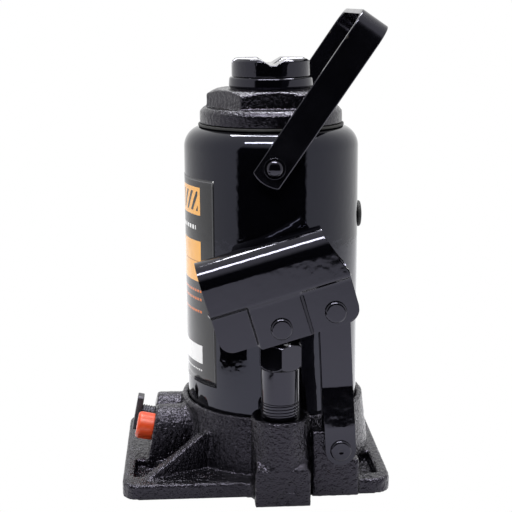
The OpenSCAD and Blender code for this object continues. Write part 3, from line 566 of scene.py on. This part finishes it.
def softCopy(name, node, material, body, slot, voxel, passes, bump=0.0, bumpScale=0.4, grow=0.0,
             flat=0.0, keep=None, more=None):
    bm = bmesh.new()
    bm.from_mesh(nodes[node].data)
    bmesh.ops.remove_doubles(bm, verts=bm.verts, dist=1e-6)
    bmesh.ops.scale(bm, vec=(1 / mm, 1 / mm, 1 / mm), verts=bm.verts)
    if keep:
        keep(bm)
    mesh = bpy.data.meshes.new(name + "Raw")
    bm.to_mesh(mesh)
    bm.free()
    raw = bpy.data.objects.new(name + "Raw", mesh)
    bpy.context.scene.collection.objects.link(raw)
    remesh = raw.modifiers.new("remesh", "REMESH")
    remesh.mode = "VOXEL"
    remesh.voxel_size = voxel
    ready = raw.evaluated_get(bpy.context.evaluated_depsgraph_get())
    shape = bpy.data.meshes.new_from_object(ready)
    bpy.data.objects.remove(raw)
    bm = bmesh.new()
    bm.from_mesh(shape)
    low, high = place(node)
    free = [vert for vert in bm.verts if vert.co.z > low.z + flat]
    for _ in range(passes):
        bmesh.ops.smooth_vert(bm, verts=free, factor=0.5, use_axis_x=True, use_axis_y=True,
                              use_axis_z=True)
    bm.normal_update()
    if bump:
        for vert in bm.verts:
            lump = noise.noise(vert.co * bumpScale) + 0.5 * noise.noise(vert.co * bumpScale * 2.3)
            vert.co += vert.normal * ((lump - 0.3) * bump + grow)
    for vert in bm.verts:
        vert.co = Vector(min(max(value, least), most) for value, least, most in zip(vert.co, low, high))
    if more:
        together(bm, more)
    bpy.data.meshes.remove(shape)
    print(name, "faces", len(bm.faces))
    return newPiece(name, bm, material, body, (node,), sharp=180)


# ---- base casting ----

casting = {"voxel": 0.85, "passes": 3, "bump": 0.22, "bumpScale": 0.5, "grow": 0.3, "flat": 1.5}
softCopy("baseCasting", "base_casting", castBlack, "base", "cast_black", **casting)

# ---- tank, label, filler plug ----

tankLow, tankHigh = place("reservoir_tube")
tank = {"radius": tankHigh.x, "foot": tankLow.z, "top": tankHigh.z, "wall": 2.5, "shoulder": 12.0,
        "hole": 36.0, "innerCorner": 9.5}


def addTank():
    radius, foot, top = tank["radius"], tank["foot"], tank["top"]
    shoulder, hole = tank["shoulder"], tank["hole"]
    arc = [(radius - shoulder * (1 - math.cos(a)), top - shoulder * (1 - math.sin(a)))
           for a in (math.radians(d) for d in range(0, 91, 6))]
    inside, under = radius - tank["wall"], top - tank["wall"]
    outline = [(radius, foot)] + arc + [(hole, top), (hole, under), (inside - tank["innerCorner"], under),
                                        (inside, top - shoulder), (inside, foot)]
    bm = turned(outline, steps=192, closed=True)
    weighNormals(newPiece("tankShell", bm, tankEnamel, "base", ("reservoir_tube",), sharp=50))


addTank()

label = {
    "angle": 94.0, "lift": 0.12, "thickness": 0.1,
    "sides": (0.1415, 0.8585),  # the printed blocks' edges, as shares of the width
    "banner": (0.826, 0.959), "bars": (0.17, 0.83, 0.846, 0.939), "panel": (0.504, 0.702),
    "rule": (0.600, 0.604), "dashes": (0.20, 0.80, 0.755, 0.775), "strip": (0.10, 0.19),
    "lines": ((0.74, 0.452, 0.464), (0.70, 0.412, 0.424), (0.5, 0.352, 0.364)),
    "fine": (0.8, 0.062, 0.070), "frame": ((0.012, 0.988, 0.008, 0.992), (0.018, 0.982, 0.012, 0.988)),
    "ground": (0.0125, 0.0125, 0.0145, 1), "amber": (0.74, 0.37, 0.085, 1),
    "barInk": (0.006, 0.006, 0.007, 1), "ruleInk": (0.35, 0.13, 0.02, 1),
    "orange": (0.55, 0.13, 0.02, 1), "white": (0.72, 0.72, 0.72, 1), "frameInk": (0.06, 0.06, 0.065, 1),
}


def labelPrint():
    material, tree, shader, where = startMaterial("labelPrint")
    chart = addNode(tree, "ShaderNodeUVMap", uv_map="print")
    split = addNode(tree, "ShaderNodeSeparateXYZ")
    tree.links.new(chart.outputs[0], split.inputs[0])
    u, v = split.outputs["X"], split.outputs["Y"]
    left, right = label["sides"]

    def times(first, second):
        return doMath(tree, "MULTIPLY", first, second)

    def either(first, *others):
        for other in others:
            first = doMath(tree, "MAXIMUM", first, other)
        return first

    def band(value, low, high):
        above = doMath(tree, "GREATER_THAN", value, low)
        return times(above, doMath(tree, "LESS_THAN", value, high))

    def block(first, last, low, high):
        return times(band(u, first, last), band(v, low, high))

    def stripes(value, count, share):
        return doMath(tree, "LESS_THAN", doMath(tree, "FRACT", times(value, count)), share)

    slant = doMath(tree, "ADD", u, times(v, 0.9))
    amber = either(block(left, right, *label["banner"]), block(left, right, *label["panel"]))
    bars = times(block(*label["bars"]), stripes(slant, 13.0, 0.45))
    rule = block(left, right, *label["rule"])
    dashes = times(block(*label["dashes"]), stripes(u, 22.0, 0.62))
    lines = times(stripes(u, 29.0, 0.7), either(*(block(left, *line) for line in label["lines"])))
    fine = times(block(left, *label["fine"]), stripes(u, 40.0, 0.6))
    white = either(block(left, right, *label["strip"]), dashes, fine)
    outer, inner = label["frame"]
    border = doMath(tree, "SUBTRACT", block(*outer), block(*inner), clamp=True)
    colour = mixColours(tree, amber, label["ground"], label["amber"])
    for mask, ink in ((bars, "barInk"), (rule, "ruleInk"), (lines, "orange"), (white, "white"),
                      (border, "frameInk")):
        colour = mixColours(tree, mask, colour, label[ink])
    tree.links.new(colour, shader.inputs["Base Color"])
    varyRoughness(tree, shader, where, (0.12, 0.22), 90.0)
    skin = useGroup(tree, peelGroup, where, Scale=320.0, Depth=0.00002)
    tree.links.new(skin.outputs["Normal"], shader.inputs["Normal"])
    return material


def addLabel():
    low, high = place("tank_label")
    half = math.radians(label["angle"] / 2)
    radius = tank["radius"] + label["lift"]
    bm = bmesh.new()
    bmesh.ops.create_grid(bm, x_segments=64, y_segments=24, size=0.5, calc_uvs=True)
    chart = bm.loops.layers.uv.verify()
    for face in bm.faces:
        for loop in face.loops:
            loop[chart].uv = (loop.vert.co.x + 0.5, loop.vert.co.y + 0.5)
    for vert in bm.verts:
        angle = math.pi - half + 2 * half * (0.5 - vert.co.x)
        height = low.z + (vert.co.y + 0.5) * (high.z - low.z)
        vert.co = (radius * math.cos(angle), radius * math.sin(angle), height)
    piece = newPiece("label", bm, labelPrint(), "base", ("tank_label",))
    piece.data.uv_layers[0].name = "print"
    addWall(piece, label["thickness"])


addLabel()

filler = {"head": 7.4, "dish": 3.2, "rim": 6.9, "underside": 4.6, "neckTop": 4.3, "neck": 5.5}


def addFiller():
    low, high = place("filler_plug")
    r, head, rim, neck = (high.z - low.z) / 2, filler["head"], filler["rim"], filler["neck"]
    points = [(0, head), (r - filler["dish"], head, 0.5), (r - filler["dish"] + 0.8, head - 0.3, 0.4),
              (r, rim, 1.2), (r, filler["underside"], 0.8), (neck, filler["neckTop"]), (neck, 0, 0.5), (0, 0)]
    bm = turned(points, 64, at=(low.x, 0, middle("filler_plug").z), along=(1, 0, 0))
    weighNormals(newPiece("fillerPlug", bm, blackRubber, "filler", ("filler_plug",)))


addFiller()
print("base, tank, label, plug")

# ---- top nut, seal, ram, screw ----

topNut = {"voxel": 0.6, "passes": 5, "bump": 0.10, "bumpScale": 0.55}
softCopy("topNut", "top_nut", nutBlack, "base", "cast_black", **topNut)

seal = {"inner": 36.5, "slack": 0.05, "round": 0.5}


def addSeal():
    low, high = place("top_seal")
    top = high.z - seal["slack"]
    points = [(high.x, low.z, seal["round"]), (high.x, top, seal["round"]), (seal["inner"], top),
              (seal["inner"], low.z)]
    bm = turned(points, 160, closed=True)
    weighNormals(newPiece("topSeal", bm, blackRubber, "base", ("top_seal",)))


ram = {"collar": 24.5, "rod": 23.0, "bore": 16.4, "grip": 26.6, "collarHeight": 6.5,
       "piston": 26.9, "pistonFoot": 40, "pistonTop": 50, "rodFoot": 52, "foot": 18}


def addRam():
    low, high = place("ram")
    ringLow, ringHigh = place("screw_stop_ring")
    top, rod, collar, bore = high.z, ram["rod"], ram["collar"], ram["bore"]
    collarFoot, threadEnd = top - ram["collarHeight"], top - ram["grip"]
    wide, deep = ringHigh.x + 0.25, ringLow.z - 1.9  # the bore below the thread
    foot, pistonFoot, pistonTop = ram["rodFoot"], ram["pistonFoot"], ram["pistonTop"]
    body = turned([(0, foot), (rod, foot, 1), (rod, collarFoot), (collar - 0.7, collarFoot, 0.6),
                   (collar, collarFoot + 1.3, 0.8), (collar - 0.4, top, 1.6), (bore + 1.2, top, 0.4),
                   (bore, top - 1.2), (bore, threadEnd), (wide, threadEnd), (wide, deep), (0, deep)], 160)
    head = turned([(0, pistonFoot), (ram["piston"], pistonFoot, 0.6), (ram["piston"], pistonTop, 0.6),
                   (rod - 0.1, pistonTop + 0.2), (0, pistonTop + 0.2)], 128)
    stem = turned([(0, low.z), (ram["foot"], low.z, 0.8), (ram["foot"], pistonFoot + 0.2),
                   (0, pistonFoot + 0.2)], 96)
    bm = together(body, head, stem)
    weighNormals(newPiece("ramRod", bm, sheetEnamel, "ram", ("ram",)))


screw = {"saddle": 10.2, "crest": 16.2, "threadDepth": 2.0, "pitch": 6.0, "neck": 14.6, "neckHeight": 6.6,
         "tip": 12.2, "tipHeight": 5.1, "voxel": 0.36, "passes": 5, "bump": 0.03, "bumpScale": 0.7}


def addScrew():
    low, high = place("extension_screw")
    underside = high.z - screw["saddle"]
    neckFoot, tipTop = underside - screw["neckHeight"], low.z + screw["tipHeight"]

    def justSaddle(bm):
        cutOff(bm, underside - 0.001, clear_inner=True)
        bmesh.ops.contextual_create(bm, geom=[edge for edge in bm.edges if edge.is_boundary])

    thread = helix(screw["crest"], screw["threadDepth"], screw["pitch"], tipTop - 0.1, neckFoot + 0.1)
    neck = turned([(0, neckFoot), (screw["neck"], neckFoot, 0.5), (screw["neck"], underside + 1),
                   (0, underside + 1)], 96)
    tip = turned([(0, low.z), (screw["tip"], low.z, 0.8), (screw["tip"], tipTop), (0, tipTop)], 64)
    softCopy("saddleScrew", "extension_screw", sheetEnamel, "screw", "lever_black", screw["voxel"],
             screw["passes"], screw["bump"], screw["bumpScale"], keep=justSaddle,
             more=together(thread, neck, tip))


addSeal()
addRam()
addScrew()
print("nut, ram, screw")

# ---- pump ----

pump = {"flats": 22.4, "hexHeight": 14.8, "barrel": 10.9, "lowChamfer": 2.8, "topChamfer": 2.2,
        "bore": 6.1, "foot": 48, "crest": 11.0, "threadDepth": 0.75, "pitch": 1.75, "threadTop": 56.8}


def addPump():
    low, high = place("pump_cylinder")
    top, hexLow, barrel, bore = high.z, high.z - pump["hexHeight"], pump["barrel"], pump["bore"]
    corner = pump["flats"] / 2 / math.cos(math.radians(30))
    shares = [i / 10 for i in range(11)]
    rings = [(corner - (corner - barrel) * (1 - t) ** 1.6, hexLow + pump["lowChamfer"] * t) for t in shares]
    rings += [(corner - (corner - barrel) * t ** 1.6, top - pump["topChamfer"] * (1 - t)) for t in shares]

    def trimFlats(vert):
        if vert.co.z < hexLow - 0.01:
            return
        around = math.degrees(math.atan2(vert.co.y, vert.co.x)) % 60 - 30  # a corner faces the front
        limit = pump["flats"] / 2 / math.cos(math.radians(30 - abs(around)))
        reach = math.hypot(vert.co.x, vert.co.y)
        if reach > limit:
            vert.co.x *= limit / reach
            vert.co.y *= limit / reach

    root, neck = barrel - 0.5, barrel - 0.15
    points = [(bore, pump["foot"]), (root, pump["foot"]), (root, 56.4), (neck, 57.0, 0.3),
              (neck, hexLow - 0.3)] + rings + [(7.2, top, 0.3), (bore, top - 1)]
    thread = helix(pump["crest"], pump["threadDepth"], pump["pitch"], low.z, pump["threadTop"])
    bm = together(turned(points, 180, closed=True, shape=trimFlats), thread)
    bmesh.ops.translate(bm, vec=(0, middle("pump_cylinder").y, 0), verts=bm.verts)
    piece = newPiece("pumpCylinder", bm, sheetEnamel, "base", ("pump_cylinder",), sharp=30)
    weighNormals(piece)


addPump()
softCopy("pumpPlunger", "pump_plunger", chromeMetal, "plunger", "plunger_chrome", voxel=0.45, passes=4)

# ---- handle socket, link, pins ----

socket = {
    "tilt": 16.25, "radius": 13.25, "sheet": 2.5, "edge": 0.9, "left": -35.0,
    "rightTop": 36.0, "rightLow": 43.7, "slopeTop": 41.0, "slopeHeight": 22.6,  # the cut right end
    "top": 46.0, "earTop": 16.5, "low": -8.0, "leftLow": -6.0, "corner": 8.0,
    "inset": {"left": 3.75, "centre": 1.0, "right": 2.0}, "splits": (-14.0, 15.0),
}


def addSocket():
    radius = socket["radius"]
    axis = socket["top"] - radius
    side = axis - socket["low"]
    arc = math.pi * radius
    pin = middle("plunger_pin")
    centre = Vector((pin.x, middle("pump_cylinder").y, pin.z))
    turn = Matrix.Rotation(math.radians(-socket["tilt"]), 4, "Y")
    first, second = socket["splits"]
    corner, depths = socket["corner"], socket["inset"]

    def bottom(u):
        drop = socket["low"] - socket["leftLow"]
        floor = socket["leftLow"] + drop * smoothStep(first - 1, first + 1, u)
        near = min(u - socket["left"], socket["rightLow"] - u)
        if near < corner:
            gap = corner - max(near, 0.0)
            floor += corner - math.sqrt(max(corner ** 2 - gap ** 2, 0.0))
        return floor

    def inset(u, w):
        depth = depths["left"]
        depth += (depths["centre"] - depths["left"]) * smoothStep(first - 1.6, first + 0.6, u)
        depth += (depths["right"] - depths["centre"]) * smoothStep(second - 0.6, second + 1.4, u)
        return depth * smoothStep(socket["earTop"] + 1.4, socket["earTop"] - 1.6, w)

    def spot(t, v):
        along = v * (2 * side + arc)
        if along < side:
            w, y = socket["low"] + along, 1.0
        elif along < side + arc:
            angle = (along - side) / radius
            w, y = axis + radius * math.sin(angle), math.cos(angle)
        else:
            w, y = axis - (along - side - arc), -1.0
        slope = min(max((socket["slopeTop"] - w) / socket["slopeHeight"], 0.0), 1.0)
        right = socket["rightTop"] + (socket["rightLow"] - socket["rightTop"]) * slope
        u = socket["left"] + t * (right - socket["left"])
        if w < axis:
            share = (w - socket["low"]) / side
            w = bottom(u) + share * (axis - bottom(u))
            y = math.copysign(radius - inset(u, w), y)
        else:
            y *= radius
        return centre + turn @ Vector((u, y, w))

    bm = bentSheet(150, 190, spot)
    piece = newPiece("handleSocket", bm, sheetEnamel, "lever", ("handle_socket",), sharp=60)
    giveThickness(piece, socket["sheet"], socket["edge"])


addSocket()

link = {"width": 17.0, "thickness": 3.0, "edge": 0.7, "lowOut": 8.4, "highOut": 5.0, "joggle": (13.0, 36.5),
        "topRound": 0.93}


def addLink():
    pinTop, pinLow = middle("link_pin"), middle("lug_pin")
    foot = Vector((pinLow.x, middle("pump_cylinder").y, pinLow.z))
    span = Vector((pinTop.x - pinLow.x, 0, pinTop.z - pinLow.z))
    turn = Matrix.Rotation(math.atan2(span.x, span.z), 4, "Y")
    half = link["width"] / 2
    start, end = link["joggle"]

    def plate(sign):
        def spot(t, v):
            x = (t - 0.5) * 2 * half
            bend = math.sqrt(max(half * half - x * x, 0.0))
            low, high = -bend, span.length + bend * link["topRound"]
            z = low + v * (high - low)
            step = min(max((z - start) / (end - start), 0.0), 1.0)
            out = link["lowOut"] + (link["highOut"] - link["lowOut"]) * step
            return foot + turn @ Vector((x, sign * out, z))

        bm = bentSheet(28, 150, spot)
        bm.normal_update()
        for face in bm.faces:
            if face.normal.y * sign < 0:
                face.normal_flip()
        return bm

    bm = together(plate(-1), plate(1))
    piece = finishPiece("linkPlates", bm, sheetEnamel, "link", ("link_plates",))
    giveThickness(piece, link["thickness"], link["edge"])


addLink()

pinShape = {"head": 6.0, "shank": 4.0, "headHeight": 2.2}


def addPin(name, node, body, pit=False):
    low, high = place(node)
    centre, length = middle(node), high.y - low.y
    r, shank, t = pinShape["head"], pinShape["shank"], pinShape["headHeight"]
    crown = [(0, 0.5), (1.1, 0.35), (1.7, 0, 0.3)] if pit else [(0, 0)]
    points = crown + [(r - 0.9, 0.05, 0.6), (r, 0.9, 0.5), (r, t, 0.2), (shank, t), (shank, length, 0.6),
                      (0, length)]
    bm = turned(points, 64, at=(centre.x, low.y, centre.z), along=(0, 1, 0))
    weighNormals(newPiece(name, bm, sheetEnamel, body, (node,)))


addPin("plungerPin", "plunger_pin", "lever")
addPin("linkPin", "link_pin", "lever")
addPin("lugPin", "lug_pin", "base", pit=True)
print("pump, socket, link, pins")

# ---- valves ----

valve = {
    "slope": 11.4, "faceX": -72.6, "faceZ": 24.6, "crest": 4.9, "threadDepth": 0.55, "pitch": 1.5,
    "thread": (-27, 8.2), "tip": 3.3, "tipEnd": -32.8, "bar": (22.0, 9.5, 3.9), "barOut": 9.9,
    "barCorner": 2.4, "barEdge": 0.5, "cap": 8.05, "capLength": 9.7, "capNeck": 4.9,
}
valveSlope = math.radians(valve["slope"])
valveAxis = Vector((-math.cos(valveSlope), 0, math.sin(valveSlope)))


def addReleaseValve():
    face = Vector((valve["faceX"], middle("release_valve").y, valve["faceZ"]))
    turn = Vector((0, 0, 1)).rotation_difference(valveAxis).to_matrix().to_4x4()
    low, high = valve["thread"]
    stem = together(helix(valve["crest"], valve["threadDepth"], valve["pitch"], low, high, 40),
                    turned([(0, valve["tipEnd"]), (valve["tip"], valve["tipEnd"], 0.6),
                            (valve["tip"], low + 0.1), (0, low + 0.1)], 40))
    bar = bmesh.new()
    bmesh.ops.create_cube(bar, size=1.0)
    bmesh.ops.scale(bar, vec=valve["bar"], verts=bar.verts)
    bmesh.ops.translate(bar, vec=(0, 0, valve["barOut"]), verts=bar.verts)
    corners = [edge for edge in bar.edges if abs(edge.verts[0].co.z - edge.verts[1].co.z) > 1]
    bmesh.ops.bevel(bar, geom=corners, offset=valve["barCorner"], segments=6, profile=0.5, affect="EDGES",
                    material=-1)
    rims = [edge for edge in bar.edges if abs(edge.verts[0].co.z - edge.verts[1].co.z) < 0.1]
    bmesh.ops.bevel(bar, geom=rims, offset=valve["barEdge"], segments=3, profile=0.5, affect="EDGES",
                    material=-1)
    bm = together(stem, bar)
    upward = turn.inverted() @ Vector((0, 0, 1, 0))
    spin = Matrix.Rotation(math.atan2(upward.y, upward.x), 4, "Z")
    bmesh.ops.transform(bm, matrix=Matrix.Translation(face) @ turn @ spin, verts=bm.verts)
    piece = newPiece("releaseValve", bm, valveBlack, "valve", ("release_valve",), sharp=30)
    weighNormals(piece)


def addCap():
    face = Vector((valve["faceX"], middle("safety_cap").y, valve["faceZ"]))
    r, neck, length = valve["cap"], valve["capNeck"], valve["capLength"]
    points = [(0, -4), (neck, -4), (neck, 0.1), (r - 0.05, 0.1, 0.4), (r, length - 0.9, 1.2),
              (r - 1.45, length + 0.2, 0.6), (0, length)]
    bm = turned(points, 96, at=face, along=valveAxis)
    weighNormals(newPiece("safetyCap", bm, orangePlastic, "base", ("safety_cap",)))


addReleaseValve()
addCap()

# ---- carry handle ----

strap = {"width": 17.0, "thickness": 3.0, "edge": 0.7, "reach": 97.0, "bend": 12.0, "tail": 10.7,
         "tailArc": 17.5, "out": 55.0, "lean": 34.6, "turn": -1.9, "bendFrom": 0.6, "bendTo": 0.75}
axleTurn = Matrix.Rotation(math.radians(strap["turn"]), 4, "Z")


def addStrap():
    pivot = Vector((0, 0, middle("handle_washers").z))
    turn = axleTurn @ Matrix.Rotation(math.radians(strap["lean"]), 4, "Y")
    bend, out, top, arc = strap["bend"], strap["out"], strap["reach"], strap["tailArc"]
    start, end = strap["bendFrom"], strap["bendTo"]
    straight = top - bend

    def spot(t, v):
        x = (t - 0.5) * strap["width"]
        side = -1 if v < 0.5 else 1
        s = min(v, 1 - v) * 2  # 0 at the tail, 1 in the middle of the bridge
        if s < start:
            tail = arc - strap["tail"] - math.sqrt(arc ** 2 - x * x)
            y, z = out, tail + (straight - tail) * s / start
        elif s < end:
            a = (s - start) / (end - start) * math.pi / 2
            y, z = out - bend + bend * math.cos(a), straight + bend * math.sin(a)
        else:
            y, z = (out - bend) * (1 - (s - end) / (1 - end)), top
        return pivot + turn @ Vector((x, side * y, z))

    bm = bentSheet(14, 240, spot)
    piece = newPiece("carryHandle", bm, strapPaint, "strap", ("carry_handle",), sharp=60)
    giveThickness(piece, strap["thickness"], strap["edge"])


rivet = {"at": 55.95, "head": 4.6, "crown": 2.2, "shank": 4.0, "length": 7.4}
washer = {"at": 55.1, "outer": 6.0, "inner": 4.1, "thickness": 0.8}


def addPair(name, node, points, at, closed=False):
    pair = []
    height = middle("handle_rivets").z
    for side in (-1, 1):
        bm = turned(points, 56, closed=closed, at=(0, side * at, height), along=(0, side, 0))
        bmesh.ops.transform(bm, matrix=axleTurn, verts=bm.verts)
        pair.append(bm)
    weighNormals(newPiece(name, together(*pair), sheetEnamel, "base", (node,)))


def addRivets():
    head, crown, shank, length = rivet["head"], rivet["crown"], rivet["shank"], rivet["length"]
    addPair("handleRivets", "handle_rivets", [
        (0, crown), (1.6, crown - 0.1), (3.4, crown - 0.6, 0.8), (head, 0.6, 0.8), (head, 0, 0.2),
        (shank, -0.1), (shank, -length), (0, -length)], rivet["at"])
    outer, inner, thickness = washer["outer"], washer["inner"], washer["thickness"]
    addPair("handleWashers", "handle_washers", [
        (outer, 0, 0.15), (outer, thickness, 0.3), (inner, thickness), (inner, 0)], washer["at"], closed=True)


addStrap()
addRivets()
print("valves, carry handle")

# ---- what stays as the CAD made it ----

finishes = {
    "cast_black": castBlack, "tank_black": tankEnamel, "lever_black": sheetEnamel,
    "strap_black": strapPaint, "steel": steelMetal, "valve_steel": valveBlack,
    "plunger_chrome": chromeMetal, "copper": copperMetal, "rubber": blackRubber,
    "orange_plastic": orangePlastic, "label": tankEnamel,
}
for entry in frame["record"]["subparts"]:
    mesh = nodes[entry["node"]].data
    mesh.materials.clear()
    mesh.materials.append(finishes[entry["material_slot"]])
print("CAD nodes finished")
